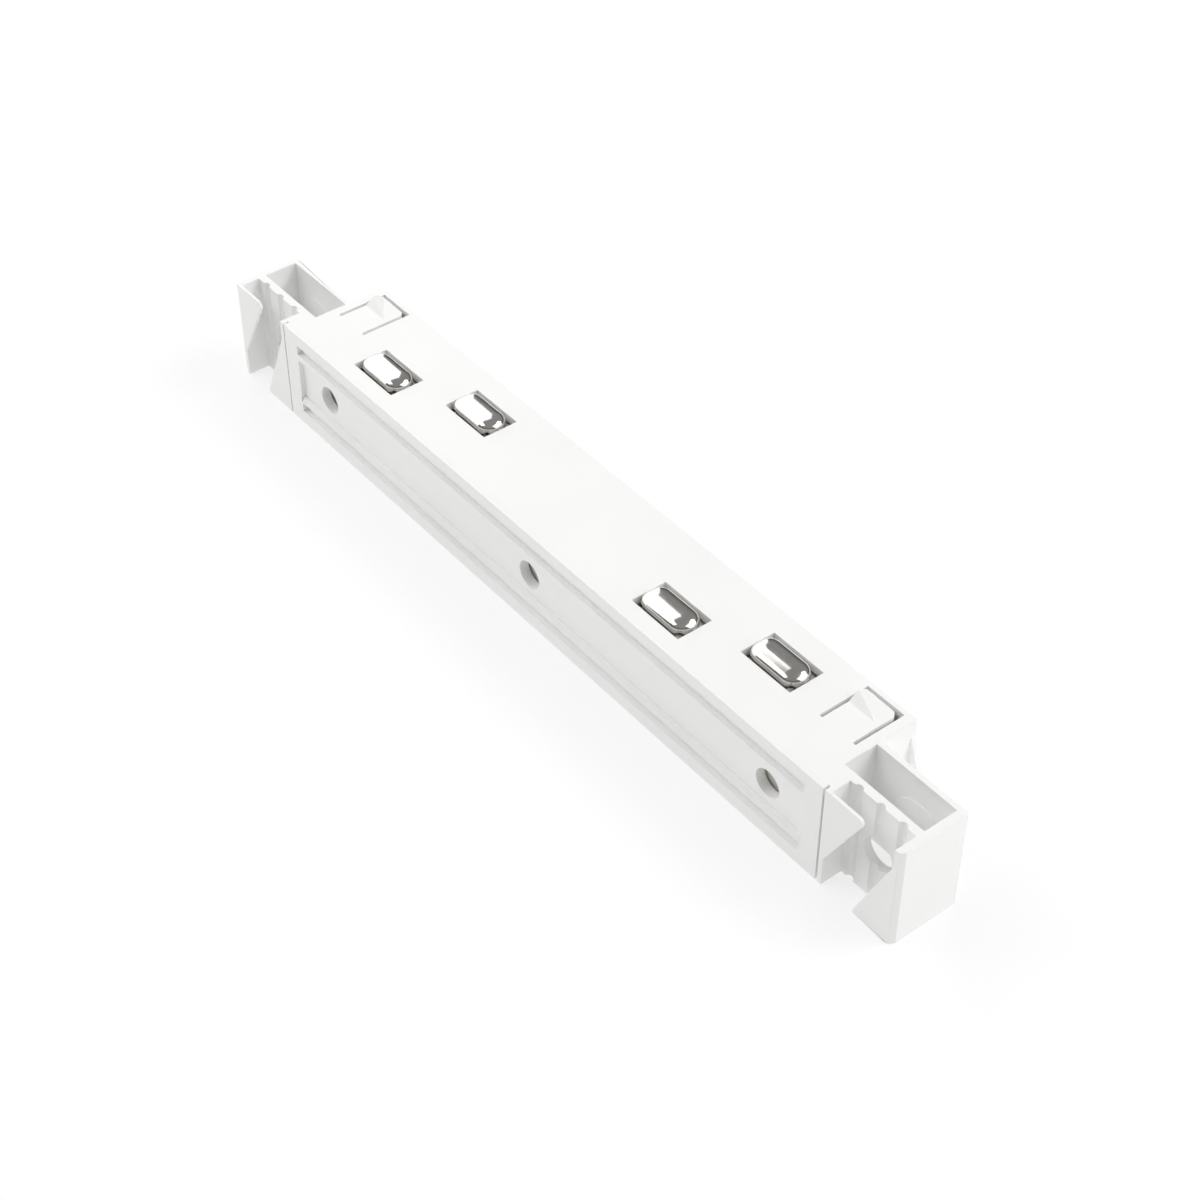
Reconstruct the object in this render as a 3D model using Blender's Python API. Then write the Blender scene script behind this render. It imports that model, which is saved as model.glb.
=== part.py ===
"""Straight connector for a magnetic lighting track.

A white moulded housing carries four sprung contacts in its top face, two snap
tongues, and an open bracket at each end. Inside, a contact carrier holds the
springs and the two busbars that join the contacts of one pole. A cover closes
the underside.

X runs along the connector, the front side faces -Y and the part stands on Z = 0.
"""

import math

import bmesh
import bpy
from mathutils import Matrix, Vector

MM = 0.001

# Body
BODY_LENGTH = 141.0 * MM
BODY_WIDTH = 20.0 * MM
BODY_HEIGHT = 19.6 * MM
TOP_THICKNESS = 1.6 * MM
FRONT_WALL = 2.6 * MM
REAR_WALL = 0.95 * MM
END_WALL = 1.35 * MM
END_SETBACK = 1.8 * MM
REAR_CORNER_DROP = 9.0 * MM

# Front skin, with the slit that parts it from each bracket
SKIN = 1.1 * MM
SLIT_WIDTH = 0.36 * MM

# Relief of the front side, from the top edge down
RELIEF_END_MARGIN = 4.0 * MM
RELIEF_DEPTH = 0.6 * MM
RELIEF_TOP_MARGIN = 2.0 * MM
GROOVE_HEIGHT = 1.55 * MM
RIB_HEIGHT = 1.7 * MM
CHANNEL_HEIGHT = 7.6 * MM
FAIRING_LAND = 0.2 * MM

# Screw stations across the body
STATION_END = 12.1 * MM
STATION_HOLE = 5.1 * MM
BOSS_DIAMETER = 7.5 * MM
BOSS_LENGTH = 3.0 * MM
SIDE_HEAD_DIAMETER = 4.5 * MM
SIDE_HEAD_HEIGHT = 1.3 * MM
SIDE_SEAT_DEPTH = 1.6 * MM
SIDE_SHANK_DIAMETER = 2.0 * MM
SIDE_SHANK_LENGTH = 9.6 * MM

# End brackets
BRACKET_CHANNEL = 13.35 * MM
BASE_PLATE = 1.1 * MM
FAR_PLATE = 1.4 * MM
BRACKET_DEPTH = 12.9 * MM
BRACKET_REAR_WALL = 1.0 * MM
MIDDLE_WALL_SETBACK = 4.08 * MM
MIDDLE_WALL = 1.55 * MM
TOP_FIN_WIDTH = 6.5 * MM
TOP_FIN_HEIGHT = 14.5 * MM
TOP_FIN_ROUND = 0.9 * MM
LOW_FIN_WIDTH = 6.95 * MM
LOW_FIN_HEIGHT = 15.8 * MM
LOW_FIN_ROUND = 0.5 * MM
PLATE_CHAMFER_DEPTH = 1.2 * MM
PLATE_CHAMFER_TOP = 1.3 * MM
PLATE_CHAMFER_FOOT = 0.25 * MM
FLUTE_COUNT = 3
FLUTE_PITCH = 4.5 * MM
FLUTE_SHIFT = -0.35 * MM
FLUTE_WIDTH = 1.8 * MM
FLUTE_DEPTH = 0.5 * MM
ACCESS_HOLE = 5.9 * MM
SEAT_DIAMETER = 10.3 * MM
SEAT_DEPTH = 0.4 * MM
FIXING_HOLE = 3.4 * MM

# Contact windows
WINDOW_LENGTH = 11.05 * MM
WINDOW_WIDTH = 6.7 * MM
WINDOW_END = 22.95 * MM
WINDOW_PITCH = 18.95 * MM
REAR_TRACK_INSET = 6.65 * MM

# Snap tongues
TONGUE_END = 7.3 * MM
TONGUE_WIDTH = 6.7 * MM
TONGUE_LENGTH = 9.05 * MM
TONGUE_SLIT = 0.6 * MM
TONGUE_CORNER = 0.8 * MM
WEDGE_RUN = 3.8 * MM
WEDGE_WIDTH = 5.6 * MM
WEDGE_PEAK = 1.9 * MM
WEDGE_HEIGHT = 1.35 * MM
WEDGE_HEEL = 0.4 * MM

# Contacts
CONTACT_LENGTH = 10.4 * MM
CONTACT_WIDTH = 5.4 * MM
CONTACT_RIM_DROP = 0.25 * MM
CONTACT_DOME = 1.4 * MM
CONTACT_STEP = 0.15 * MM
FLANGE_LENGTH = 12.4 * MM
FLANGE_WIDTH = 7.6 * MM
FLANGE_THICKNESS = 1.3 * MM
SPIGOT_DIAMETER = 2.3 * MM
SPIGOT_LENGTH = 1.6 * MM
CONTACT_TRAVEL = 1.2 * MM

# Springs
SPRING_MEAN_DIAMETER = 3.5 * MM
SPRING_WIRE = 0.45 * MM
SPRING_TURNS = 7
SPRING_POINTS = 12

# Contact carrier
FLOOR_THICKNESS = 2.4 * MM
TOWER_WALL = 1.0 * MM
STATION_POST = 7.0 * MM
STATION_POST_TOP = 4.0 * MM
COVER_POST_DIAMETER = 4.2 * MM
COVER_POST_HEIGHT = 4.2 * MM

# Busbars
BUSBAR_WIDTH = 2.0 * MM
BUSBAR_THICKNESS = 0.8 * MM
BUSBAR_OVERRUN = 3.2 * MM
STUD_DIAMETER = 1.6 * MM

# Base cover and its screws
COVER_THICKNESS = 1.5 * MM
COVER_SCREW_HEAD = 3.6 * MM
COVER_SCREW_SHANK = 1.8 * MM
COVER_SCREW_HEAD_HEIGHT = 0.9 * MM
COVER_SCREW_LENGTH = 6.0 * MM
DRIVE_WIDTH = 0.5 * MM
DRIVE_DEPTH = 0.6 * MM

# Room between pieces that meet
CLEARANCE = 0.3 * MM

# Facets of round forms
HOLE_SEGMENTS = 32
SMALL_SEGMENTS = 20
CONTACT_SEGMENTS = 32
DOME_STEPS = 6
ARC_STEPS = 6

# Planes worked out from the sizes above
HALF_LENGTH = BODY_LENGTH / 2
FRONT_Y = -BODY_WIDTH / 2
REAR_Y = BODY_WIDTH / 2
TOP_Z = BODY_HEIGHT
TOP_UNDERSIDE = TOP_Z - TOP_THICKNESS
MID_Z = BODY_HEIGHT / 2
END_X = HALF_LENGTH - END_SETBACK
INNER_X = END_X - END_WALL
INNER_FRONT_Y = FRONT_Y + FRONT_WALL
INNER_REAR_Y = REAR_Y - REAR_WALL
CHANNEL_NEAR_X = HALF_LENGTH + BASE_PLATE
CHANNEL_FAR_X = CHANNEL_NEAR_X + BRACKET_CHANNEL
BRACKET_END_X = CHANNEL_FAR_X + FAR_PLATE
BRACKET_REAR_Y = FRONT_Y + BRACKET_DEPTH
POCKET_REAR_Y = BRACKET_REAR_Y - BRACKET_REAR_WALL
MIDDLE_FRONT_Y = FRONT_Y + MIDDLE_WALL_SETBACK
MIDDLE_REAR_Y = MIDDLE_FRONT_Y + MIDDLE_WALL
RELIEF_END_X = HALF_LENGTH - RELIEF_END_MARGIN
STATION_X = HALF_LENGTH - STATION_END
TONGUE_CENTRE = HALF_LENGTH - TONGUE_END
OUTER_WINDOW_X = HALF_LENGTH - WINDOW_END
INNER_WINDOW_X = OUTER_WINDOW_X - WINDOW_PITCH
BOSS_END_Y = REAR_Y - BOSS_LENGTH
SIDE_SEAT_Y = REAR_Y - SIDE_SEAT_DEPTH
FLOOR_Z = COVER_THICKNESS + CLEARANCE
FLOOR_TOP = FLOOR_Z + FLOOR_THICKNESS
CARRIER_FRONT_Y = INNER_FRONT_Y + CLEARANCE
CARRIER_REAR_Y = INNER_REAR_Y - CLEARANCE
TOWER_TOP = TOP_UNDERSIDE - CLEARANCE
POST_REAR_Y = BOSS_END_Y - CLEARANCE
FLANGE_TOP = TOP_UNDERSIDE - CLEARANCE
FLANGE_BOTTOM = FLANGE_TOP - FLANGE_THICKNESS
RIM_Z = TOP_Z - CONTACT_RIM_DROP
BUSBAR_Z = FLOOR_TOP - BUSBAR_THICKNESS
BUSBAR_TOP = BUSBAR_Z + BUSBAR_THICKNESS
SPRING_FOOT = BUSBAR_TOP + CLEARANCE
SPRING_HEAD = FLANGE_BOTTOM - CLEARANCE
WELL_LENGTH = FLANGE_LENGTH + 2 * CLEARANCE
WELL_WIDTH = FLANGE_WIDTH + 2 * CLEARANCE
FRONT_TRACK_Y = INNER_FRONT_Y + WELL_WIDTH / 2
REAR_TRACK_Y = INNER_REAR_Y - REAR_TRACK_INSET

# Colours and finishes: base colour, roughness, metallic
WHITE_PLASTIC = ((0.88, 0.88, 0.88, 1.0), 0.42, 0.0)
CARRIER_PLASTIC = ((0.80, 0.80, 0.78, 1.0), 0.5, 0.0)
NICKEL = ((0.66, 0.64, 0.61, 1.0), 0.12, 1.0)
SPRING_STEEL = ((0.55, 0.55, 0.56, 1.0), 0.3, 1.0)
BRASS = ((0.80, 0.62, 0.30, 1.0), 0.28, 1.0)
ZINC = ((0.62, 0.62, 0.64, 1.0), 0.32, 1.0)

# Contacts from -X to +X: centre, track and pole
CONTACT_PLACES = (
    (-OUTER_WINDOW_X, FRONT_TRACK_Y),
    (-INNER_WINDOW_X, REAR_TRACK_Y),
    (INNER_WINDOW_X, FRONT_TRACK_Y),
    (OUTER_WINDOW_X, REAR_TRACK_Y),
)
STATIONS = (-STATION_X, 0.0, STATION_X)


def clear_scene():
    for item in list(bpy.context.scene.objects):
        bpy.data.objects.remove(item, do_unlink=True)


def make_collection(name):
    collection = bpy.data.collections.new(name)
    bpy.context.scene.collection.children.link(collection)
    return collection


def make_material(name, finish):
    colour, roughness, metallic = finish
    material = bpy.data.materials.new(name)
    material.use_nodes = True
    shader = material.node_tree.nodes["Principled BSDF"]
    shader.inputs["Base Color"].default_value = colour
    shader.inputs["Roughness"].default_value = roughness
    shader.inputs["Metallic"].default_value = metallic
    return material


def place(name, data, collection):
    thing = bpy.data.objects.new(name, data)
    collection.objects.link(thing)
    return thing


def mesh_object(name, shape, collection):
    mesh = bpy.data.meshes.new(name)
    bmesh.ops.recalc_face_normals(shape, faces=shape.faces)
    shape.to_mesh(mesh)
    shape.free()
    return place(name, mesh, collection)


def as_tool(thing):
    thing.hide_render = True
    thing.display_type = "WIRE"
    return thing


def box(name, x, y, z, collection):
    """A box between the two limits given for each axis."""
    shape = bmesh.new()
    bmesh.ops.create_cube(shape, size=1.0)
    for corner in shape.verts:
        corner.co = [limits[side > 0] for limits, side in zip((x, y, z), corner.co)]
    return mesh_object(name, shape, collection)


AXIS_TURNS = {
    "Y": Matrix(((1, 0, 0, 0), (0, 0, 1, 0), (0, -1, 0, 0), (0, 0, 0, 1))),
    "Z": Matrix.Identity(4),
}


def rod(name, centre, diameter, length, axis, collection, end=None, segments=HOLE_SEGMENTS):
    """A cylinder or, with an end diameter, a cone. Its ends lie half its length from the centre."""
    shape = bmesh.new()
    matrix = Matrix.Translation(centre) @ AXIS_TURNS[axis]
    last = diameter if end is None else end
    bmesh.ops.create_cone(shape, cap_ends=True, segments=segments, radius1=diameter / 2,
                          radius2=last / 2, depth=length, matrix=matrix)
    return mesh_object(name, shape, collection)


PLANE_TURNS = {
    "X": Matrix(((0, 0, 1, 0), (1, 0, 0, 0), (0, 1, 0, 0), (0, 0, 0, 1))),
    "Y": Matrix(((1, 0, 0, 0), (0, 0, -1, 0), (0, 1, 0, 0), (0, 0, 0, 1))),
    "Z": Matrix.Identity(4),
}


def outline_curve(name, outline, axis, thickness, collection):
    """A flat outline given in the plane across the axis, with half its thickness on each side."""
    curve = bpy.data.curves.new(name, "CURVE")
    curve.dimensions = "2D"
    curve.fill_mode = "BOTH"
    curve.extrude = thickness / 2
    spline = curve.splines.new("POLY")
    spline.points.add(len(outline) - 1)
    for point, (u, v) in zip(spline.points, outline):
        point.co = (u, v, 0.0, 1.0)
    spline.use_cyclic_u = True
    thing = place(name, curve, collection)
    thing.matrix_world = PLANE_TURNS[axis]
    return thing


def prism(name, outline, axis, low, high, collection):
    """The solid of a flat outline between two levels along the axis, as a closed mesh."""
    flat = outline_curve(name, outline, axis, high - low, collection)
    bpy.context.view_layer.update()
    graph = bpy.context.evaluated_depsgraph_get()
    mesh = bpy.data.meshes.new_from_object(flat.evaluated_get(graph))
    bpy.data.objects.remove(flat, do_unlink=True)
    shape = bmesh.new()
    shape.from_mesh(mesh)
    bpy.data.meshes.remove(mesh)
    bmesh.ops.remove_doubles(shape, verts=shape.verts, dist=1e-7)
    level = -low if axis == "Y" else high
    other = -high if axis == "Y" else low
    for corner in shape.verts:
        corner.co.z = level if corner.co.z > 0 else other
    solid = mesh_object(name, shape, collection)
    solid.matrix_world = PLANE_TURNS[axis]
    return solid


def hull(name, points, collection):
    shape = bmesh.new()
    for point in points:
        shape.verts.new(point)
    bmesh.ops.convex_hull(shape, input=shape.verts)
    return mesh_object(name, shape, collection)


def combine(target, tool, operation):
    modifier = target.modifiers.new(tool.name, "BOOLEAN")
    modifier.operation = operation
    modifier.solver = "EXACT"
    modifier.object = as_tool(tool)


def join(target, tool):
    combine(target, tool, "UNION")


def cut(target, tool):
    combine(target, tool, "DIFFERENCE")


def arc(centre, radius, start, sweep, steps=ARC_STEPS):
    """Points along an arc, with its angles in degrees."""
    points = []
    for step in range(steps + 1):
        angle = math.radians(start + sweep * step / steps)
        points.append((centre[0] + radius * math.cos(angle), centre[1] + radius * math.sin(angle)))
    return points


def round_corner(before, corner, after, radius, steps=ARC_STEPS):
    """Points of the arc that rounds a corner of an outline."""
    corner = Vector(corner)
    back = (Vector(before) - corner).normalized()
    ahead = (Vector(after) - corner).normalized()
    half = back.angle(ahead) / 2
    reach = radius / math.tan(half)
    centre = corner + (back + ahead).normalized() * (radius / math.sin(half))
    first = corner + back * reach - centre
    last = corner + ahead * reach - centre
    start = math.degrees(math.atan2(first.y, first.x))
    sweep = math.degrees(math.atan2(last.y, last.x)) - start
    sweep = (sweep + 180.0) % 360.0 - 180.0
    return arc(centre, radius, start, sweep, steps)


def finish(thing, material, smooth_angle=35.0):
    """Gives a part its material and shades its round faces smooth."""
    thing.data.materials.clear()
    thing.data.materials.append(material)
    if thing.type == "MESH":
        thing.data.shade_smooth()
        thing.data.set_sharp_from_angle(angle=math.radians(smooth_angle))
    return thing


def top_fin_outline(wall_x):
    """Fin below the top edge of a plate, its tip towards +X."""
    tip = (wall_x + TOP_FIN_WIDTH, TOP_Z)
    foot = (wall_x, TOP_Z - TOP_FIN_HEIGHT)
    root = (wall_x - SKIN / 2, TOP_Z)
    return [(root[0], foot[1]), foot] + round_corner(foot, tip, root, TOP_FIN_ROUND) + [root]


def low_fin_outline(wall_x):
    """Fin on the lower edge of a plate, its tip towards -X."""
    tip = (wall_x - LOW_FIN_WIDTH, 0.0)
    head = (wall_x, LOW_FIN_HEIGHT)
    root = (wall_x + SKIN / 2, 0.0)
    return [root, (root[0], head[1]), head] + round_corner(head, tip, root, LOW_FIN_ROUND)


def add_bracket(housing, tools, side):
    """An open bracket: two plates, a fluted middle wall, a rear wall and two fins."""
    word = "right" if side > 0 else "left"
    near, far = CHANNEL_NEAR_X * side, CHANNEL_FAR_X * side
    low_x, high_x = min(near, far), max(near, far)
    centre_x = (near + far) / 2
    tall = (0.0, TOP_Z)
    end_x = BRACKET_END_X * side
    reach = sorted((END_X * side - END_WALL / 2 * side, end_x))
    base = sorted((END_X * side - END_WALL / 2 * side, near))
    join(housing, box(f"base_block_{word}", base, (FRONT_Y, MIDDLE_REAR_Y), tall, tools))
    join(housing, box(f"middle_wall_{word}", reach, (MIDDLE_FRONT_Y, MIDDLE_REAR_Y), tall, tools))
    join(housing, box(f"rear_wall_{word}", reach, (POCKET_REAR_Y, BRACKET_REAR_Y), tall, tools))
    plate = sorted((far, end_x))
    join(housing, box(f"far_plate_{word}", plate, (FRONT_Y, BRACKET_REAR_Y), tall, tools))
    skin = (FRONT_Y, FRONT_Y + SKIN)
    join(housing, prism(f"top_fin_{word}", top_fin_outline(low_x), "Y", *skin, tools))
    join(housing, prism(f"low_fin_{word}", low_fin_outline(high_x), "Y", *skin, tools))
    first = centre_x + FLUTE_SHIFT - FLUTE_PITCH * (FLUTE_COUNT - 1) / 2
    radius = (FLUTE_WIDTH ** 2 / 4 + FLUTE_DEPTH ** 2) / (2 * FLUTE_DEPTH)
    for index in range(FLUTE_COUNT):
        place_at = (first + FLUTE_PITCH * index, MIDDLE_FRONT_Y - radius + FLUTE_DEPTH, MID_Z)
        flute = rod(f"flute_{word}_{index + 1}", place_at, 2 * radius, 1.1 * BODY_HEIGHT, "Z",
                    tools, segments=SMALL_SEGMENTS)
        cut(housing, flute)
    access = (centre_x, (MIDDLE_FRONT_Y + MIDDLE_REAR_Y) / 2, MID_Z)
    cut(housing, rod(f"access_hole_{word}", access, ACCESS_HOLE, 2 * MIDDLE_WALL, "Y", tools))
    seat = (centre_x, POCKET_REAR_Y, MID_Z)
    cut(housing, rod(f"screw_seat_{word}", seat, SEAT_DIAMETER, 2 * SEAT_DEPTH, "Y", tools))
    fixing = (centre_x, (POCKET_REAR_Y + BRACKET_REAR_Y) / 2, MID_Z)
    cut(housing, rod(f"fixing_hole_{word}", fixing, FIXING_HOLE, 2 * BRACKET_REAR_WALL, "Y", tools))
    cut(housing, plate_chamfer(f"plate_chamfer_{word}", end_x, side, tools))
    slit = (HALF_LENGTH * side - SLIT_WIDTH / 2, HALF_LENGTH * side + SLIT_WIDTH / 2)
    over = (-SKIN, TOP_Z + SKIN)
    cut(housing, box(f"skin_slit_{word}", slit, (FRONT_Y - SKIN, FRONT_Y + SKIN), over, tools))


def plate_chamfer(name, end_x, side, tools):
    """Chamfer on the front outer edge of a far plate, wide at the top and narrow at the foot."""
    points = []
    for level, width in ((TOP_Z + SKIN, PLATE_CHAMFER_TOP), (-SKIN, PLATE_CHAMFER_FOOT)):
        edge = (end_x - width * side, FRONT_Y)
        back = (end_x, FRONT_Y + PLATE_CHAMFER_DEPTH)
        run = Vector((back[0] - edge[0], back[1] - edge[1]))
        points.append((edge[0] - run.x, edge[1] - run.y, level))
        points.append((back[0] + run.x, back[1] + run.y, level))
        points.append((end_x + (SKIN + width) * side, FRONT_Y - SKIN - PLATE_CHAMFER_DEPTH, level))
    return hull(name, points, tools)


def add_front_relief(housing, tools):
    """Two grooves and a channel, whose lower side is a long round fairing."""
    length = (-RELIEF_END_X, RELIEF_END_X)
    floor_y = FRONT_Y + RELIEF_DEPTH
    outside = FRONT_Y - RELIEF_DEPTH
    upper = TOP_Z - RELIEF_TOP_MARGIN
    upper_groove = (upper - GROOVE_HEIGHT, upper)
    channel_top = upper_groove[0] - RIB_HEIGHT
    channel_foot = channel_top - CHANNEL_HEIGHT
    lower = channel_foot - RIB_HEIGHT
    lower_groove = (lower - GROOVE_HEIGHT, lower)
    cut(housing, box("upper_groove", length, (outside, floor_y), upper_groove, tools))
    cut(housing, box("lower_groove", length, (outside, floor_y), lower_groove, tools))
    fairing = []
    for step in range(ARC_STEPS + 1):
        angle = math.pi / 2 * step / ARC_STEPS
        y = FRONT_Y + RELIEF_DEPTH * (1 - math.sin(angle))
        z = lower + FAIRING_LAND + (RIB_HEIGHT - FAIRING_LAND) * math.cos(angle)
        fairing.append((y, z))
    outline = [(outside, channel_top), (floor_y, channel_top)] + fairing
    outline.append((outside, fairing[-1][1]))
    cut(housing, prism("channel", outline, "X", *length, tools))


def add_stations(housing, tools):
    """Screw stations: an open hole in the front wall and a counterbored boss in the rear wall."""
    for number, x in enumerate(STATIONS, 1):
        boss_y = (BOSS_END_Y + REAR_Y - REAR_WALL / 2) / 2
        boss_length = REAR_Y - REAR_WALL / 2 - BOSS_END_Y
        join(housing, rod(f"boss_{number}", (x, boss_y, MID_Z), BOSS_DIAMETER, boss_length, "Y", tools))
    for number, x in enumerate(STATIONS, 1):
        front = (x, FRONT_Y + FRONT_WALL / 2, MID_Z)
        cut(housing, rod(f"front_hole_{number}", front, STATION_HOLE, 1.5 * FRONT_WALL, "Y", tools))
        seat = (x, REAR_Y, MID_Z)
        cut(housing, rod(f"head_seat_{number}", seat, STATION_HOLE, 2 * SIDE_SEAT_DEPTH, "Y", tools))
        bore = (x, (BOSS_END_Y + SIDE_SEAT_Y) / 2, MID_Z)
        diameter = SIDE_SHANK_DIAMETER + 2 * CLEARANCE
        cut(housing, rod(f"shank_bore_{number}", bore, diameter, BOSS_LENGTH, "Y", tools,
                         segments=SMALL_SEGMENTS))


def add_tongue(housing, tools, side):
    """A snap tongue freed by a U-shaped slit, with a wedge and a ramp on its free end."""
    word = "right" if side > 0 else "left"
    left = TONGUE_CENTRE * side - TONGUE_WIDTH / 2
    right = left + TONGUE_WIDTH
    slit_end = INNER_REAR_Y
    free_end = slit_end - TONGUE_SLIT
    root = free_end - TONGUE_LENGTH
    corner = [(right - TONGUE_CORNER, free_end), (right, free_end - TONGUE_CORNER)]
    outline = [(left - TONGUE_SLIT, root), (left, root), (left, free_end)]
    outline += corner
    outline += [(right, root), (right + TONGUE_SLIT, root)]
    outline += [(right + TONGUE_SLIT, slit_end), (left - TONGUE_SLIT, slit_end)]
    cut(housing, prism(f"tongue_slit_{word}", outline, "Z", TOP_UNDERSIDE - TONGUE_SLIT,
                       TOP_Z + TONGUE_SLIT, tools))
    start = free_end - WEDGE_RUN
    heel = (left, free_end, TOP_Z + WEDGE_HEEL)
    buried = TOP_Z - TOP_THICKNESS / 2
    plan = [(left, start), (right, start), (right, free_end - TONGUE_CORNER),
            (right - TONGUE_CORNER, free_end), (left, free_end)]
    ramp = [(x, y, buried) for x, y in plan] + [(x, y, TOP_Z) for x, y in plan[:-1]] + [heel]
    join(housing, hull(f"ramp_{word}", ramp, tools))
    near_end = (left + WEDGE_WIDTH, start)
    peak = (left, start + WEDGE_PEAK, TOP_Z + WEDGE_HEIGHT)
    wedge = [(left, start, TOP_Z), (*near_end, TOP_Z), peak, heel]
    wedge += [(left, start, buried), (*near_end, buried), (left, free_end, buried)]
    join(housing, hull(f"wedge_{word}", wedge, tools))


def build_housing(parts, tools):
    body = (-END_X, END_X)
    housing = box("housing", body, (FRONT_Y, REAR_Y), (0.0, TOP_Z), parts)
    cavity = box("cavity", (-INNER_X, INNER_X), (INNER_FRONT_Y, INNER_REAR_Y),
                 (-TOP_THICKNESS, TOP_UNDERSIDE), tools)
    cut(housing, cavity)
    for side in (-1, 1):
        add_bracket(housing, tools, side)
        word = "right" if side > 0 else "left"
        corner = [(END_X * side, TOP_Z), (HALF_LENGTH * side, TOP_Z - REAR_CORNER_DROP),
                  (HALF_LENGTH * side, 0.0), ((END_X - REAR_WALL) * side, 0.0),
                  ((END_X - REAR_WALL) * side, TOP_Z)]
        join(housing, prism(f"rear_corner_{word}", corner, "Y", INNER_REAR_Y, REAR_Y, tools))
    add_stations(housing, tools)
    add_front_relief(housing, tools)
    for number, (x, y) in enumerate(CONTACT_PLACES, 1):
        window = box(f"window_{number}", (x - WINDOW_LENGTH / 2, x + WINDOW_LENGTH / 2),
                     (y - WINDOW_WIDTH / 2, y + WINDOW_WIDTH / 2),
                     (TOP_UNDERSIDE - TOP_THICKNESS, TOP_Z + TOP_THICKNESS), tools)
        cut(housing, window)
    for side in (-1, 1):
        add_tongue(housing, tools, side)
    return finish(housing, make_material("white_plastic", WHITE_PLASTIC))


def cover_screw_places():
    """A screw at each end, and two between the contacts on the track that has no busbar there."""
    end_x = INNER_X - COVER_POST_DIAMETER / 2 - 2 * CLEARANCE
    middle_y = (CARRIER_FRONT_Y + POST_REAR_Y) / 2
    gap_x = (OUTER_WINDOW_X + INNER_WINDOW_X) / 2
    return ((-end_x, middle_y), (-gap_x, REAR_TRACK_Y), (gap_x, FRONT_TRACK_Y), (end_x, middle_y))


def busbar_runs():
    """Name, two ends and track of each busbar, which joins the two contacts on its track."""
    runs = []
    for name, track in (("busbar_front", FRONT_TRACK_Y), ("busbar_rear", REAR_TRACK_Y)):
        served = [x for x, y in CONTACT_PLACES if y == track]
        runs.append((name, min(served) - BUSBAR_OVERRUN, max(served) + BUSBAR_OVERRUN, track))
    return runs


def build_carrier(parts, tools):
    """A floor with a well for each contact and a post at each screw station."""
    half = INNER_X - CLEARANCE
    carrier = box("contact_carrier", (-half, half), (CARRIER_FRONT_Y, CARRIER_REAR_Y),
                  (FLOOR_Z, FLOOR_TOP), parts)
    for number, (x, y) in enumerate(CONTACT_PLACES, 1):
        long_half = WELL_LENGTH / 2 + TOWER_WALL
        wide_half = WELL_WIDTH / 2 + TOWER_WALL
        across = (max(y - wide_half, CARRIER_FRONT_Y), y + wide_half)
        tower = box(f"tower_{number}", (x - long_half, x + long_half), across,
                    (FLOOR_Z + FLOOR_THICKNESS / 2, TOWER_TOP), tools)
        join(carrier, tower)
    for number, x in enumerate(STATIONS, 1):
        post = box(f"station_post_{number}", (x - STATION_POST / 2, x + STATION_POST / 2),
                   (CARRIER_FRONT_Y, POST_REAR_Y),
                   (FLOOR_Z + FLOOR_THICKNESS / 2, MID_Z + STATION_POST_TOP), tools)
        join(carrier, post)
    for number, (x, y) in enumerate(cover_screw_places(), 1):
        height = COVER_POST_HEIGHT + FLOOR_THICKNESS / 2
        centre = (x, y, FLOOR_TOP - FLOOR_THICKNESS / 2 + height / 2)
        join(carrier, rod(f"cover_post_{number}", centre, COVER_POST_DIAMETER, height, "Z", tools,
                          segments=SMALL_SEGMENTS))
    for number, (x, y) in enumerate(CONTACT_PLACES, 1):
        well = box(f"well_{number}", (x - WELL_LENGTH / 2, x + WELL_LENGTH / 2),
                   (y - WELL_WIDTH / 2, y + WELL_WIDTH / 2), (FLOOR_TOP, TOP_Z), tools)
        cut(carrier, well)
    for name, low, high, y in busbar_runs():
        groove = box(f"{name}_groove", (low - CLEARANCE, high + CLEARANCE),
                     (y - BUSBAR_WIDTH / 2 - CLEARANCE, y + BUSBAR_WIDTH / 2 + CLEARANCE),
                     (BUSBAR_Z - CLEARANCE, FLOOR_TOP + 2 * BUSBAR_THICKNESS), tools)
        cut(carrier, groove)
    pilot = SIDE_SHANK_DIAMETER + 2 * CLEARANCE
    for number, x in enumerate(STATIONS, 1):
        recess = (x, POST_REAR_Y + BOSS_LENGTH / 2, MID_Z)
        cut(carrier, rod(f"boss_recess_{number}", recess, BOSS_DIAMETER + 2 * CLEARANCE,
                         BOSS_LENGTH, "Y", tools))
        centre = (x, (CARRIER_FRONT_Y + POST_REAR_Y) / 2, MID_Z)
        cut(carrier, rod(f"station_pilot_{number}", centre, pilot, BODY_WIDTH, "Y", tools,
                         segments=SMALL_SEGMENTS))
    reach = COVER_SCREW_LENGTH + 2 * CLEARANCE
    for number, (x, y) in enumerate(cover_screw_places(), 1):
        cut(carrier, rod(f"cover_pilot_{number}", (x, y, reach / 2),
                         COVER_SCREW_SHANK + 2 * CLEARANCE, reach, "Z", tools,
                         segments=SMALL_SEGMENTS))
    return finish(carrier, make_material("carrier_plastic", CARRIER_PLASTIC))


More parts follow.
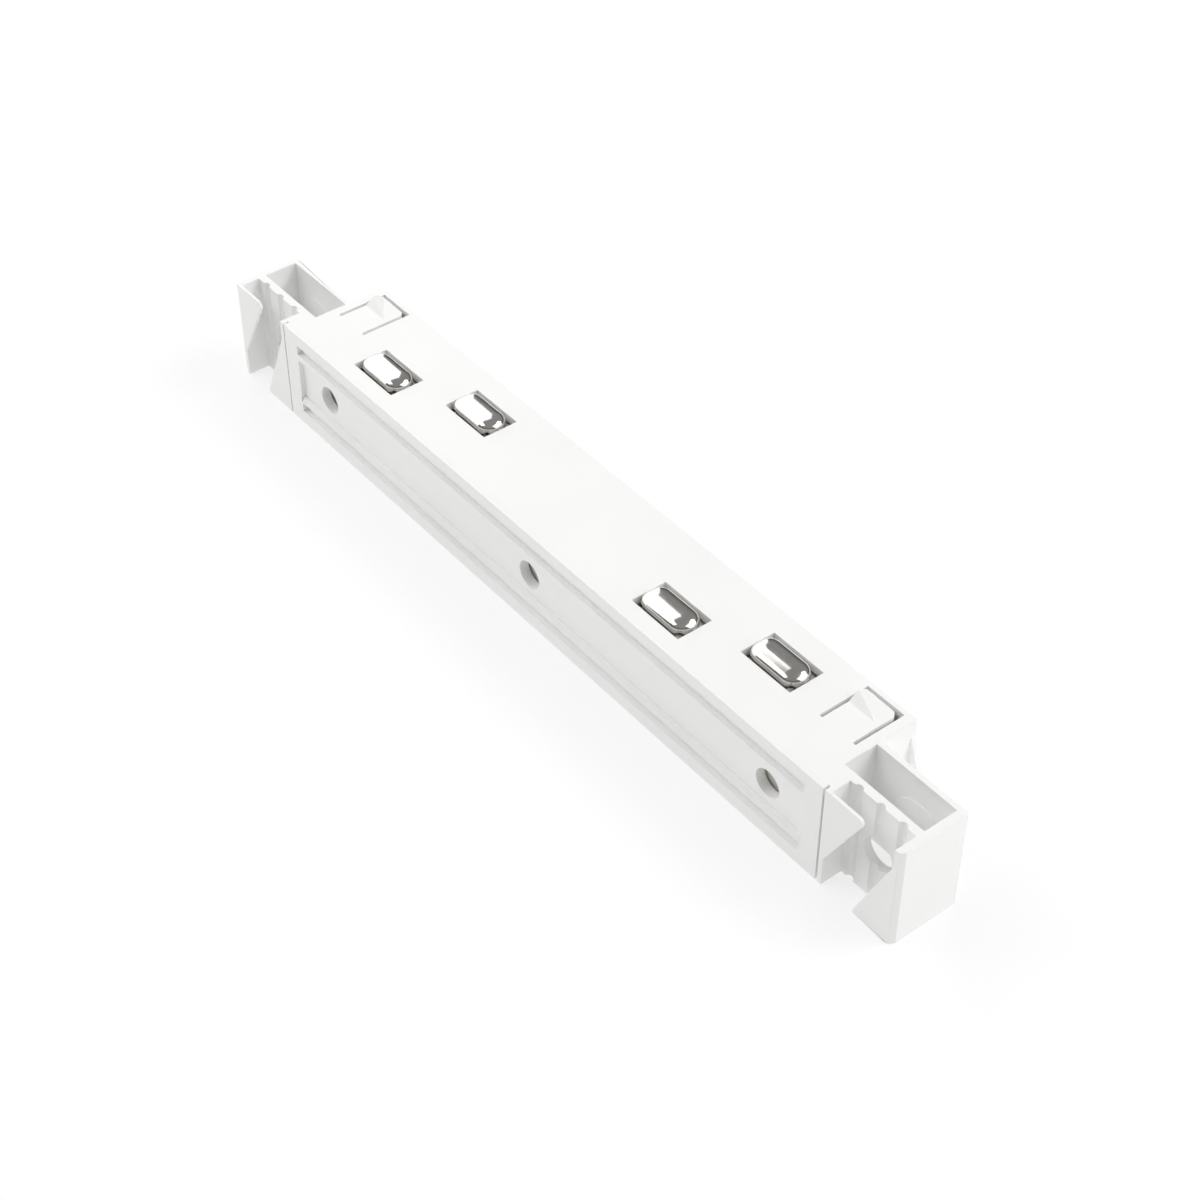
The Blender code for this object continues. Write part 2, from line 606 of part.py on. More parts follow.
def build_cover(parts, tools):
    half = INNER_X - CLEARANCE
    cover = box("base_cover", (-half, half), (CARRIER_FRONT_Y, CARRIER_REAR_Y),
                (0.0, COVER_THICKNESS), parts)
    slope = (COVER_SCREW_HEAD - COVER_SCREW_SHANK) / 2 / COVER_SCREW_HEAD_HEIGHT
    offset = CLEARANCE * math.hypot(1.0, slope)
    low, high = -CLEARANCE, COVER_SCREW_HEAD_HEIGHT
    mouth = COVER_SCREW_HEAD + 2 * (offset - slope * low)
    throat = COVER_SCREW_SHANK + 2 * offset
    for number, (x, y) in enumerate(cover_screw_places(), 1):
        cut(cover, rod(f"countersink_{number}", (x, y, (low + high) / 2), mouth, high - low, "Z",
                       tools, end=throat, segments=SMALL_SEGMENTS))
        cut(cover, rod(f"cover_hole_{number}", (x, y, COVER_THICKNESS / 2),
                       COVER_SCREW_SHANK + 2 * CLEARANCE, 2 * COVER_THICKNESS, "Z", tools,
                       segments=SMALL_SEGMENTS))
    return finish(cover, make_material("cover_plastic", WHITE_PLASTIC))


def oblong_ring(shape, straight, radius, z):
    """A ring of vertices: two half circles with straight runs of the given half-length."""
    ring = []
    for step in range(CONTACT_SEGMENTS):
        angle = 2 * math.pi * (step + 0.5) / CONTACT_SEGMENTS
        shift = straight if math.cos(angle) > 0 else -straight
        x = shift + radius * math.cos(angle)
        ring.append(shape.verts.new((x, radius * math.sin(angle), z)))
    return ring


def contact_sections():
    """Half-length of the straight run, radius and height of each section, from foot to crest."""
    flange = ((FLANGE_LENGTH - FLANGE_WIDTH) / 2, FLANGE_WIDTH / 2)
    stem = ((CONTACT_LENGTH - CONTACT_WIDTH) / 2, CONTACT_WIDTH / 2)
    bottom, top = FLANGE_BOTTOM - RIM_Z, FLANGE_TOP - RIM_Z
    sections = [(0.0, SPIGOT_DIAMETER / 2, bottom - SPIGOT_LENGTH), (0.0, SPIGOT_DIAMETER / 2, bottom)]
    sections += [(*flange, bottom), (*flange, top), (*stem, top), (*stem, 0.0)]
    dome = stem[1] - CONTACT_STEP
    for step in range(DOME_STEPS):
        angle = math.pi / 2 * step / DOME_STEPS
        sections.append((stem[0], dome * math.cos(angle), CONTACT_DOME * math.sin(angle)))
    sections.append((stem[0], dome * 0.08, CONTACT_DOME))
    return sections


def build_contacts(parts):
    """Pill-shaped contacts. Each has its origin on its own axis, at the rim of its dome."""
    for number, (x, y) in enumerate(CONTACT_PLACES, 1):
        shape = bmesh.new()
        rings = [oblong_ring(shape, *section) for section in contact_sections()]
        for lower, upper in zip(rings, rings[1:]):
            for index in range(CONTACT_SEGMENTS):
                after = (index + 1) % CONTACT_SEGMENTS
                shape.faces.new((lower[index], lower[after], upper[after], upper[index]))
        shape.faces.new(rings[0][::-1])
        shape.faces.new(rings[-1])
        contact = mesh_object(f"contact_{number}", shape, parts)
        contact.location = (x, y, RIM_Z)
        finish(contact, make_material(f"contact_nickel_{number}", NICKEL))


def coil_height(turn, height):
    """Height of the wire's centre line: one close turn at each end and an even rise between."""
    close = SPRING_WIRE + CLEARANCE
    even = (height - 2 * close) / (SPRING_TURNS - 2)
    if turn <= 1:
        return close * turn
    if turn <= SPRING_TURNS - 1:
        return close + even * (turn - 1)
    return height - close * (SPRING_TURNS - turn)


def build_springs(parts):
    """Compression springs between the busbars and the contact flanges."""
    height = SPRING_HEAD - SPRING_FOOT - SPRING_WIRE
    radius = SPRING_MEAN_DIAMETER / 2
    for number, (x, y) in enumerate(CONTACT_PLACES, 1):
        curve = bpy.data.curves.new(f"contact_spring_{number}", "CURVE")
        curve.dimensions = "3D"
        curve.bevel_depth = SPRING_WIRE / 2
        curve.bevel_resolution = 2
        curve.use_fill_caps = True
        spline = curve.splines.new("POLY")
        spline.points.add(SPRING_TURNS * SPRING_POINTS)
        for step, point in enumerate(spline.points):
            turn = step / SPRING_POINTS
            angle = 2 * math.pi * turn
            rise = coil_height(turn, height)
            point.co = (radius * math.cos(angle), radius * math.sin(angle), rise, 1.0)
        spring = place(f"contact_spring_{number}", curve, parts)
        spring.location = (x, y, SPRING_FOOT + SPRING_WIRE / 2)
        finish(spring, make_material(f"spring_steel_{number}", SPRING_STEEL))


def build_busbars(parts, tools):
    """Flat strips with a stud under each spring."""
    for name, low, high, y in busbar_runs():
        bar = box(name, (low, high), (y - BUSBAR_WIDTH / 2, y + BUSBAR_WIDTH / 2),
                  (BUSBAR_Z, BUSBAR_TOP), parts)
        for x, track in CONTACT_PLACES:
            if track != y:
                continue
            centre = (x, y, BUSBAR_Z + SPIGOT_LENGTH / 2 + BUSBAR_THICKNESS / 2)
            side = "right" if x > 0 else "left"
            join(bar, rod(f"{name}_stud_{side}", centre, STUD_DIAMETER, SPIGOT_LENGTH, "Z", tools,
                          segments=SMALL_SEGMENTS))
        finish(bar, make_material(f"{name}_brass", BRASS))


def cross_recess(screw, name, centre, axis, tools):
    """Two crossing slots in a screw head."""
    x, y, z = centre
    narrow, wide = DRIVE_WIDTH / 2, 2 * DRIVE_WIDTH
    for number, (u, v) in enumerate(((narrow, wide), (wide, narrow)), 1):
        if axis == "Y":
            limits = ((x - u, x + u), (y - DRIVE_DEPTH, y + DRIVE_DEPTH), (z - v, z + v))
        else:
            limits = ((x - u, x + u), (y - v, y + v), (z - DRIVE_DEPTH, z + DRIVE_DEPTH))
        cut(screw, box(f"{name}_drive_{number}", *limits, tools))


def build_side_screws(parts, tools):
    """Screws through the rear wall into the posts of the carrier."""
    head_y = SIDE_SEAT_Y + CLEARANCE
    for number, x in enumerate(STATIONS, 1):
        name = f"side_screw_{number}"
        screw = rod(name, (x, head_y + SIDE_HEAD_HEIGHT / 2, MID_Z), SIDE_HEAD_DIAMETER,
                    SIDE_HEAD_HEIGHT, "Y", parts, segments=SMALL_SEGMENTS)
        overlap = SIDE_HEAD_HEIGHT / 2
        shank_y = head_y + (overlap - SIDE_SHANK_LENGTH) / 2
        join(screw, rod(f"{name}_shank", (x, shank_y, MID_Z), SIDE_SHANK_DIAMETER,
                        SIDE_SHANK_LENGTH + overlap, "Y", tools, segments=SMALL_SEGMENTS))
        cross_recess(screw, name, (x, head_y + SIDE_HEAD_HEIGHT, MID_Z), "Y", tools)
        finish(screw, make_material(f"{name}_zinc", ZINC))


def build_cover_screws(parts, tools):
    """Countersunk screws through the cover into the carrier."""
    for number, (x, y) in enumerate(cover_screw_places(), 1):
        name = f"cover_screw_{number}"
        screw = rod(name, (x, y, COVER_SCREW_HEAD_HEIGHT / 2), COVER_SCREW_HEAD,
                    COVER_SCREW_HEAD_HEIGHT, "Z", parts, end=COVER_SCREW_SHANK,
                    segments=SMALL_SEGMENTS)
        low = COVER_SCREW_HEAD_HEIGHT / 2
        join(screw, rod(f"{name}_shank", (x, y, (low + COVER_SCREW_LENGTH) / 2),
                        COVER_SCREW_SHANK * 0.98, COVER_SCREW_LENGTH - low, "Z", tools,
                        segments=SMALL_SEGMENTS))
        cross_recess(screw, name, (x, y, 0.0), "Z", tools)
        finish(screw, make_material(f"{name}_zinc", ZINC))


def build_all():
    clear_scene()
    parts = make_collection("magnetic_track_straight_connector")
    tools = make_collection("construction")
    build_housing(parts, tools)
    build_carrier(parts, tools)
    build_cover(parts, tools)
    build_contacts(parts)
    build_springs(parts)
    build_busbars(parts, tools)
    build_side_screws(parts, tools)
    build_cover_screws(parts, tools)


build_all()
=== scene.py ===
# %% [markdown]
# A white connector for a magnetic lighting track, dressed for its picture
#
# The connector is one slim moulding with four sprung contacts in its top face, two snap
# tongues, and an open bracket at each end. The solids of the construction model are already
# at their real size. This script gives them the edges, the finishes, the light and the
# camera that a product photograph has. It starts by loading the solids as a fixed frame.

import math

import bmesh
import bpy
from mathutils import Matrix, Vector


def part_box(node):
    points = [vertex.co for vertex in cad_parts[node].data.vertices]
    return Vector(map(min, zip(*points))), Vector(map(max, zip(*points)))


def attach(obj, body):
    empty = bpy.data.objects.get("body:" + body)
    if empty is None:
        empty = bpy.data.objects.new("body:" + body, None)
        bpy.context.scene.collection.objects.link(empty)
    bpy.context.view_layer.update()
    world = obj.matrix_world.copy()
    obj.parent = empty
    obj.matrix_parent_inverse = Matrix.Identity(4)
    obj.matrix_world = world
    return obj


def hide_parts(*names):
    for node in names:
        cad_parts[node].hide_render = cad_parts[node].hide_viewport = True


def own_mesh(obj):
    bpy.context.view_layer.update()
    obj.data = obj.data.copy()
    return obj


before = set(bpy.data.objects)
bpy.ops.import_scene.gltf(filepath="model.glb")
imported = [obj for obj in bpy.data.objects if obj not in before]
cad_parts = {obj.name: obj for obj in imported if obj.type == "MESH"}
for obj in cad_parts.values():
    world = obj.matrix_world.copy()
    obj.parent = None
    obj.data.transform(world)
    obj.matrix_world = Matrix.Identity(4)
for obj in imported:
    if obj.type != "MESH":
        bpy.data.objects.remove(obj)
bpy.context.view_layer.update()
MM = 0.001
TO_METRES = Matrix.Diagonal((MM, MM, MM, 1.0))

# %% [markdown]
# The camera
#
# A small product is usually taken with a short telephoto lens, so that its ends don't
# spread. The lens, the angles and the place of this camera were fitted to the straight
# edges of the connector in the photograph, with the body taken as 20 mm wide. The camera
# looks down on the top face from the right, over the front side.

# %% Place the camera
AZIMUTH = math.radians(51.695)
ELEVATION = math.radians(42.715)
ROLL = math.radians(0.069)
CAMERA_PLACE = Vector((227.35, -174.22, 263.48)) * MM
LENS = 70.33
NEAREST = 0.01


def camera_axes():
    """The camera's own right, up and backward directions."""
    back = Vector((
        math.sin(AZIMUTH) * math.cos(ELEVATION),
        -math.cos(AZIMUTH) * math.cos(ELEVATION),
        math.sin(ELEVATION),
    ))
    right = Vector((math.cos(AZIMUTH), math.sin(AZIMUTH), 0.0))
    up = back.cross(right)
    turn = Matrix.Rotation(ROLL, 3, back)
    return turn @ right, turn @ up, back


def add_camera():
    camera = bpy.data.cameras.new("camera")
    camera.lens = LENS
    camera.clip_start = NEAREST
    holder = bpy.data.objects.new("camera", camera)
    bpy.context.scene.collection.objects.link(holder)
    axes = Matrix(camera_axes()).transposed().to_4x4()
    holder.matrix_world = Matrix.Translation(CAMERA_PLACE) @ axes
    bpy.context.scene.camera = holder
    return holder


camera = add_camera()
print("camera", round(camera.location.length / MM), "mm away, lens", LENS, "mm")

# %% [markdown]
# Colours and shader nodes
#
# Paint and plastic colours are easiest to read as the hex values that a colour picker
# shows. Blender's shaders work in linear light, so one function turns the hex value to
# linear. Another adds a node, sets it up and links it, which keeps each material short.
# Most finishes here wander a little in colour, in gloss and in height, and each of the
# three has a function too.

# %% Colour and node helpers
NOISE_LOW = 0.3
NOISE_HIGH = 0.7
# The Mix node has sockets for each kind of value, and these are the ones for colours.
MIX_FIRST = 6
MIX_SECOND = 7
MIX_RESULT = 2


def linear(hex_colour):
    """An sRGB hex colour as linear red, green, blue and alpha."""
    channels = []
    for start in (1, 3, 5):
        value = int(hex_colour[start:start + 2], 16) / 255
        channels.append(value / 12.92 if value <= 0.04045 else ((value + 0.055) / 1.055) ** 2.4)
    return (*channels, 1.0)


def add_node(tree, kind, settings=None, inputs=None, links=None):
    """Adds a node: settings are its own values, inputs its sockets' values, links what feeds it."""
    node = tree.nodes.new(kind)
    for name, value in (settings or {}).items():
        setattr(node, name, value)
    for name, value in (inputs or {}).items():
        node.inputs[name].default_value = value
    for name, source in (links or {}).items():
        tree.links.new(source, node.inputs[name])
    return node


def new_material(name, colour, roughness, metallic=0.0):
    """A material, its node tree and its Principled shader."""
    material = bpy.data.materials.new(name)
    material.use_nodes = True
    tree = material.node_tree
    shader = tree.nodes["Principled BSDF"]
    shader.inputs["Base Color"].default_value = linear(colour)
    shader.inputs["Roughness"].default_value = roughness
    shader.inputs["Metallic"].default_value = metallic
    return material, tree, shader


def noise(tree, size_mm, detail=2.0, roughness=0.5, stretch=(1.0, 1.0, 1.0)):
    """Noise whose blotches are about size_mm wide, fixed to the object."""
    place = add_node(tree, "ShaderNodeTexCoord")
    scaled = add_node(tree, "ShaderNodeMapping", inputs={"Scale": stretch},
                      links={"Vector": place.outputs["Object"]})
    scale = 1.0 / (size_mm * MM)
    return add_node(tree, "ShaderNodeTexNoise",
                    inputs={"Scale": scale, "Detail": detail, "Roughness": roughness},
                    links={"Vector": scaled.outputs["Vector"]})


def spread(tree, source, low, high):
    """Spreads a noise value, which mostly lies in the middle of its range, from low to high."""
    node = add_node(tree, "ShaderNodeMapRange",
                    inputs={"From Min": NOISE_LOW, "From Max": NOISE_HIGH, "To Min": low, "To Max": high},
                    links={"Value": source.outputs["Fac"]})
    return node.outputs["Result"]


def tint(tree, shader, source, first, second):
    """Lets the colour wander between two hex colours."""
    mix = add_node(tree, "ShaderNodeMix", settings={"data_type": "RGBA"},
                   links={"Factor": spread(tree, source, 0.0, 1.0)})
    mix.inputs[MIX_FIRST].default_value = linear(first)
    mix.inputs[MIX_SECOND].default_value = linear(second)
    tree.links.new(mix.outputs[MIX_RESULT], shader.inputs["Base Color"])


def vary_gloss(tree, shader, source, low, high):
    """Lets the roughness wander between two values."""
    tree.links.new(spread(tree, source, low, high), shader.inputs["Roughness"])


def add_bump(tree, shader, source, height_mm, strength):
    """Raises the surface by the noise, height_mm from its lowest to its highest place."""
    bump = add_node(tree, "ShaderNodeBump",
                    inputs={"Strength": strength, "Distance": height_mm * MM},
                    links={"Height": source.outputs["Fac"]})
    tree.links.new(bump.outputs["Normal"], shader.inputs["Normal"])


# %% [markdown]
# White polycarbonate, injection moulded
#
# The housing and its cover are white polycarbonate from a spark-eroded mould. The mould
# leaves a satin grain of about a tenth of a millimetre, which softens the reflection of
# the studio without hiding the edges. Pigment and flow make the white wander by a shade
# that is hardly seen.

# %% White polycarbonate
GRAIN_MM = 0.28  # the real grain is about 0.1 mm, drawn coarser so that it shows
FLOW_MM = 18.0
POLYCARBONATE_IOR = 1.58


def white_polycarbonate():
    material, tree, shader = new_material("white_polycarbonate", "#FAFAF9", roughness=0.42)
    shader.inputs["IOR"].default_value = POLYCARBONATE_IOR
    flow = noise(tree, FLOW_MM, detail=3.0)
    tint(tree, shader, flow, "#F8F8F7", "#FBFBFA")
    grain = noise(tree, GRAIN_MM, detail=3.0, roughness=0.6)
    vary_gloss(tree, shader, grain, low=0.38, high=0.5)
    add_bump(tree, shader, grain, height_mm=0.006, strength=0.6)
    return material


white_plastic = white_polycarbonate()
print("housing finish:", white_plastic.name)

# %% [markdown]
# Nickel plate over turned brass
#
# The contacts are brass with bright nickel. Nickel is a warm grey mirror, a little
# yellower than chromium. Tumbling the small parts before plating leaves them with faint
# ripples and a few fine rubs, so the reflections bend a little and aren't optical.

# %% Nickel plate
RIPPLE_MM = 2.4
RUB_MM = 0.35


def nickel_plate():
    material, tree, shader = new_material("nickel_plate", "#E2E0DC", roughness=0.12, metallic=1.0)
    ripple = noise(tree, RIPPLE_MM, detail=1.0)
    tint(tree, shader, ripple, "#DEDBD6", "#E7E6E3")
    rubs = noise(tree, RUB_MM, detail=4.0, stretch=(0.25, 1.0, 1.0))
    vary_gloss(tree, shader, rubs, low=0.09, high=0.17)
    add_bump(tree, shader, ripple, height_mm=0.02, strength=0.35)
    return material


nickel = nickel_plate()
print("contact finish:", nickel.name)

# %% [markdown]
# The hidden metals and the carrier
#
# Inside, the busbars are rolled brass strip, which shows long faint roll lines. The
# springs are drawn stainless wire, and the screws are steel with a thin bluish zinc coat.
# The carrier is glass-filled nylon: duller and a little yellower than the housing.

# %% Rolled brass, drawn wire, zinc and nylon
ROLL_LINE_MM = 0.3
DIE_MARK_MM = 0.2
BLOOM_MM = 0.9
FIBRE_MM = 0.5
NYLON_IOR = 1.53


def rolled_brass():
    material, tree, shader = new_material("rolled_brass", "#CDA85C", roughness=0.28, metallic=1.0)
    lines = noise(tree, ROLL_LINE_MM, detail=3.0, stretch=(0.03, 1.0, 1.0))
    tint(tree, shader, lines, "#C39C52", "#D6B46C")
    vary_gloss(tree, shader, lines, low=0.22, high=0.36)
    add_bump(tree, shader, lines, height_mm=0.008, strength=0.4)
    return material


def drawn_wire():
    material, tree, shader = new_material("drawn_stainless_wire", "#B9BABC", roughness=0.25, metallic=1.0)
    die_marks = noise(tree, DIE_MARK_MM, detail=2.0)
    tint(tree, shader, die_marks, "#AFB0B3", "#C4C5C6")
    vary_gloss(tree, shader, die_marks, low=0.2, high=0.34)
    return material


def zinc_plate():
    material, tree, shader = new_material("zinc_plated_steel", "#C2C6CB", roughness=0.3, metallic=1.0)
    bloom = noise(tree, BLOOM_MM, detail=4.0)
    tint(tree, shader, bloom, "#B7BCC4", "#CDD0D2")
    vary_gloss(tree, shader, bloom, low=0.24, high=0.4)
    add_bump(tree, shader, bloom, height_mm=0.01, strength=0.3)
    return material


def glass_filled_nylon():
    material, tree, shader = new_material("glass_filled_nylon", "#E4E2DA", roughness=0.55)
    shader.inputs["IOR"].default_value = NYLON_IOR
    fibres = noise(tree, FIBRE_MM, detail=5.0, roughness=0.7)
    tint(tree, shader, fibres, "#DFDCD2", "#E9E7E0")
    add_bump(tree, shader, fibres, height_mm=0.015, strength=0.4)
    return material


brass = rolled_brass()
wire = drawn_wire()
zinc = zinc_plate()
nylon = glass_filled_nylon()
print("inner finishes:", [item.name for item in (brass, wire, zinc, nylon)])

# %% [markdown]
# Moulded edges
#
# No moulded edge is a knife edge: the cutter that made the mould leaves a small radius,
# and that radius is what catches the light along every edge in a photograph. The
# construction model is left sharp. The cover and the screws are copies of their solids,
# with the flat faces joined up again and a real bevel along the edges. The housing, which
# is cut anew further down, gets the same bevel. Each of them then stands for its node.

# %% Round the edges of a solid
CREASE_ANGLE = math.radians(15.0)
FLAT_ANGLE = math.radians(1.0)
WELD_MM = 0.002
LARGEST_FACE_WINS = 100


def copy_of(node, name):
    """A copy of a CAD node's mesh as a new object, welded and without its stored normals."""
    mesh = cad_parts[node].data.copy()
    mesh.name = name
    piece = bpy.data.objects.new(name, mesh)
    bpy.context.scene.collection.objects.link(piece)
    shape = bmesh.new()
    shape.from_mesh(mesh)
    bmesh.ops.remove_doubles(shape, verts=shape.verts, dist=WELD_MM * MM)
    shape.to_mesh(mesh)
    shape.free()
    stored_normals = mesh.attributes.get("custom_normal")
    if stored_normals is not None:
        mesh.attributes.remove(stored_normals)
    return piece


def join_flats(piece):
    """Joins the triangles of each flat face, so that its shading stays even."""
    shape = bmesh.new()
    shape.from_mesh(piece.data)
    bmesh.ops.dissolve_limit(shape, angle_limit=FLAT_ANGLE, verts=shape.verts, edges=shape.edges)
    shape.to_mesh(piece.data)
    shape.free()


def round_edges(piece, width_mm, segments=3):
    bevel = piece.modifiers.new("moulded_edges", "BEVEL")
    bevel.width = width_mm * MM
    bevel.segments = segments
    bevel.limit_method = "ANGLE"
    bevel.angle_limit = CREASE_ANGLE
    bevel.miter_outer = "MITER_ARC"
    bevel.use_clamp_overlap = False
    piece.data.shade_smooth()
    level = piece.modifiers.new("flat_faces_stay_flat", "WEIGHTED_NORMAL")
    level.weight = LARGEST_FACE_WINS
    level.keep_sharp = True


def finish_piece(piece, node, material, body):
    """Gives a piece its material, lets it ride on a body, and puts it in its node's place."""
    piece.data.materials.clear()
    piece.data.materials.append(material)
    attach(piece, body)
    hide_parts(node)


def dress(node, name, material, body, width_mm, segments=3):
    """Puts a softened copy of a node in its place."""
    piece = copy_of(node, name)
    join_flats(piece)
    round_edges(piece, width_mm, segments)
    finish_piece(piece, node, material, body)
    return piece


# %% [markdown]
# The housing's sizes
#
# The housing is one moulding, from the fins of one bracket to the fins of the other. The
# construction model has the same forms. For the picture they are cut again here, with
# rounder holes, thinner tongues and fins, and deeper grooves, from sizes that were mostly
# read off the photograph. The sizes are in millimetres, and the finished mesh is scaled
# down to metres.

# %% Sizes of the housing in millimetres
BODY_LENGTH = 141.0
BODY_WIDTH = 20.0
TOP_Z = 19.6
TOP_THICKNESS = 1.6
FRONT_WALL = 2.6
REAR_WALL = 0.95
END_WALL = 1.35
END_SETBACK = 1.8
REAR_CORNER_START = 3.2
REAR_CORNER_DROP = 8.4
OVER = 2.0  # how far a cutter stands out of the solid that it cuts

HALF_LENGTH = BODY_LENGTH / 2
FRONT_Y = -BODY_WIDTH / 2
REAR_Y = BODY_WIDTH / 2
MID_Z = TOP_Z / 2
TOP_UNDERSIDE = TOP_Z - TOP_THICKNESS
END_X = HALF_LENGTH - END_SETBACK
INNER_X = END_X - END_WALL
INNER_FRONT_Y = FRONT_Y + FRONT_WALL
INNER_REAR_Y = REAR_Y - REAR_WALL
print("housing body", BODY_LENGTH, "by", BODY_WIDTH, "by", TOP_Z, "mm")

# %% [markdown]
# Cutting tools
#
# A mould is cut with a few simple forms, and so is this one. A box, a rod, a prism of a
# flat outline and the hull of some corners are enough. Each is joined to the housing or cut
# from it, in order, by an exact Boolean.

# %% Boxes, rods, prisms and hulls
ROUND_SEGMENTS = 64
TURNS = {
    "X": Matrix(((0, 0, 1), (1, 0, 0), (0, 1, 0))).to_4x4(),
    "Y": Matrix(((1, 0, 0), (0, 0, -1), (0, 1, 0))).to_4x4(),
    "Z": Matrix.Identity(4),
}
tools = []


def solid(shape):
    """A closed shape as a tool object, which goes once the housing is cut."""
    bmesh.ops.recalc_face_normals(shape, faces=shape.faces)
    mesh = bpy.data.meshes.new("tool")
    shape.to_mesh(mesh)
    shape.free()
    thing = bpy.data.objects.new("tool", mesh)
    bpy.context.scene.collection.objects.link(thing)
    tools.append(thing)
    return thing


def box(x, y, z):
    """A box between two limits along each axis, given in either order."""
    shape = bmesh.new()
    bmesh.ops.create_cube(shape, size=1.0)
    for corner in shape.verts:
        corner.co = [sorted(limits)[side > 0] for limits, side in zip((x, y, z), corner.co)]
    return solid(shape)


def rod(centre, diameter, length, axis):
    shape = bmesh.new()
    bmesh.ops.create_cone(shape, cap_ends=True, segments=ROUND_SEGMENTS, radius1=diameter / 2,
                          radius2=diameter / 2, depth=length,
                          matrix=Matrix.Translation(centre) @ TURNS[axis])
    return solid(shape)


def prism(outline, axis, low, high):
    """The solid of an outline in the plane across the axis, between two levels along it."""
    shape = bmesh.new()
    rings = []
    for level in (low, high):
        # The turn to the Y axis points the height the other way.
        height = -level if axis == "Y" else level
        rings.append([shape.verts.new(TURNS[axis] @ Vector((u, v, height))) for u, v in outline])
    for index in range(len(outline)):
        after = (index + 1) % len(outline)
        shape.faces.new((rings[0][index], rings[0][after], rings[1][after], rings[1][index]))
    shape.faces.new(rings[0])
    shape.faces.new(rings[1])
    return solid(shape)


def hull(points):
    shape = bmesh.new()
    for point in points:
        shape.verts.new(point)
    bmesh.ops.convex_hull(shape, input=shape.verts)
    return solid(shape)


def combine(target, tool, operation):
    step = target.modifiers.new("step", "BOOLEAN")
    step.operation = operation
    step.solver = "EXACT"
    step.object = tool


def join(target, tool):
    combine(target, tool, "UNION")


def cut(target, tool):
    combine(target, tool, "DIFFERENCE")


def fillet(before, corner, after, radius, steps=10):
    """Points of the arc that rounds a corner of an outline."""
    corner = Vector(corner)
    back = (Vector(before) - corner).normalized()
    ahead = (Vector(after) - corner).normalized()
    half = back.angle(ahead) / 2
    centre = corner + (back + ahead).normalized() * (radius / math.sin(half))
    reach = radius / math.tan(half)
    first = corner + back * reach - centre
    last = corner + ahead * reach - centre
    start = math.atan2(first.y, first.x)
    sweep = (math.atan2(last.y, last.x) - start + math.pi) % (2 * math.pi) - math.pi
    points = []
    for step in range(steps + 1):
        angle = start + sweep * step / steps
        points.append((centre.x + radius * math.cos(angle), centre.y + radius * math.sin(angle)))
    return points


# %% [markdown]
# An end bracket
#
# Each bracket is open to the front. Its base plate stands against the body behind a fine
# slit, and its far plate is the connector's end. Between them a fluted wall with a cross
# hole stands halfway back, and a thin wall with a round pad closes the pocket behind it.
# Two thin fins reach into the opening from the two plates, one from above and one from
# below, and leave a slanting channel between them. The upper fin is on the left in both
# brackets, so the brackets aren't quite mirror images.

# %% Cut a bracket
BASE_PLATE = 1.1
CHANNEL = 13.35
FAR_PLATE = 1.4
BRACKET_DEPTH = 12.9
BRACKET_REAR_WALL = 1.0
MIDDLE_WALL_SETBACK = 4.08
MIDDLE_WALL = 1.55
FIN_THICKNESS = 0.6
TOP_FIN_WIDTH = 7.4
TOP_FIN_HEIGHT = 14.0
TOP_FIN_ROUND = 0.9
LOW_FIN_WIDTH = 6.95
LOW_FIN_HEIGHT = 15.8
LOW_FIN_ROUND = 0.5
FLUTE_PITCH = 4.5
FLUTE_SHIFT = 0.4
FLUTE_WIDTH = 1.6
FLUTE_DEPTH = 0.6
ACCESS_HOLE = 5.9
PAD_DIAMETER = 10.3
PAD_HEIGHT = 0.3
CHAMFER_WIDTH = 0.5
CHAMFER_DEPTH = 1.0
SLIT_WIDTH = 0.36
SLIT_DEPTH = 1.1
FIN_ROOT = SLIT_DEPTH / 2
BRACKET_REAR_Y = FRONT_Y + BRACKET_DEPTH
POCKET_REAR_Y = BRACKET_REAR_Y - BRACKET_REAR_WALL
MIDDLE_FRONT_Y = FRONT_Y + MIDDLE_WALL_SETBACK
MIDDLE_REAR_Y = MIDDLE_FRONT_Y + MIDDLE_WALL


def add_walls(housing, root, near, far, end):
    tall = (0.0, TOP_Z)
    join(housing, box((root, near), (FRONT_Y, MIDDLE_REAR_Y), tall))
    join(housing, box((root, end), (MIDDLE_FRONT_Y, MIDDLE_REAR_Y), tall))
    join(housing, box((root, end), (POCKET_REAR_Y, BRACKET_REAR_Y), tall))
    join(housing, box((far, end), (FRONT_Y, BRACKET_REAR_Y), tall))


def add_fins(housing, low_x, high_x):
    """Adds the upper fin on the left plate and the lower fin on the right one."""
    depth = (FRONT_Y, FRONT_Y + FIN_THICKNESS)
    foot, tip = (low_x, TOP_Z - TOP_FIN_HEIGHT), (low_x + TOP_FIN_WIDTH, TOP_Z)
    corner = (low_x - FIN_ROOT, TOP_Z)
    top_fin = [(corner[0], foot[1]), foot] + fillet(foot, tip, corner, TOP_FIN_ROUND) + [corner]
    join(housing, prism(top_fin, "Y", *depth))
    head, tip = (high_x, LOW_FIN_HEIGHT), (high_x - LOW_FIN_WIDTH, 0.0)
    corner = (high_x + FIN_ROOT, 0.0)
    low_fin = [corner, (corner[0], head[1]), head] + fillet(head, tip, corner, LOW_FIN_ROUND)
    join(housing, prism(low_fin, "Y", *depth))


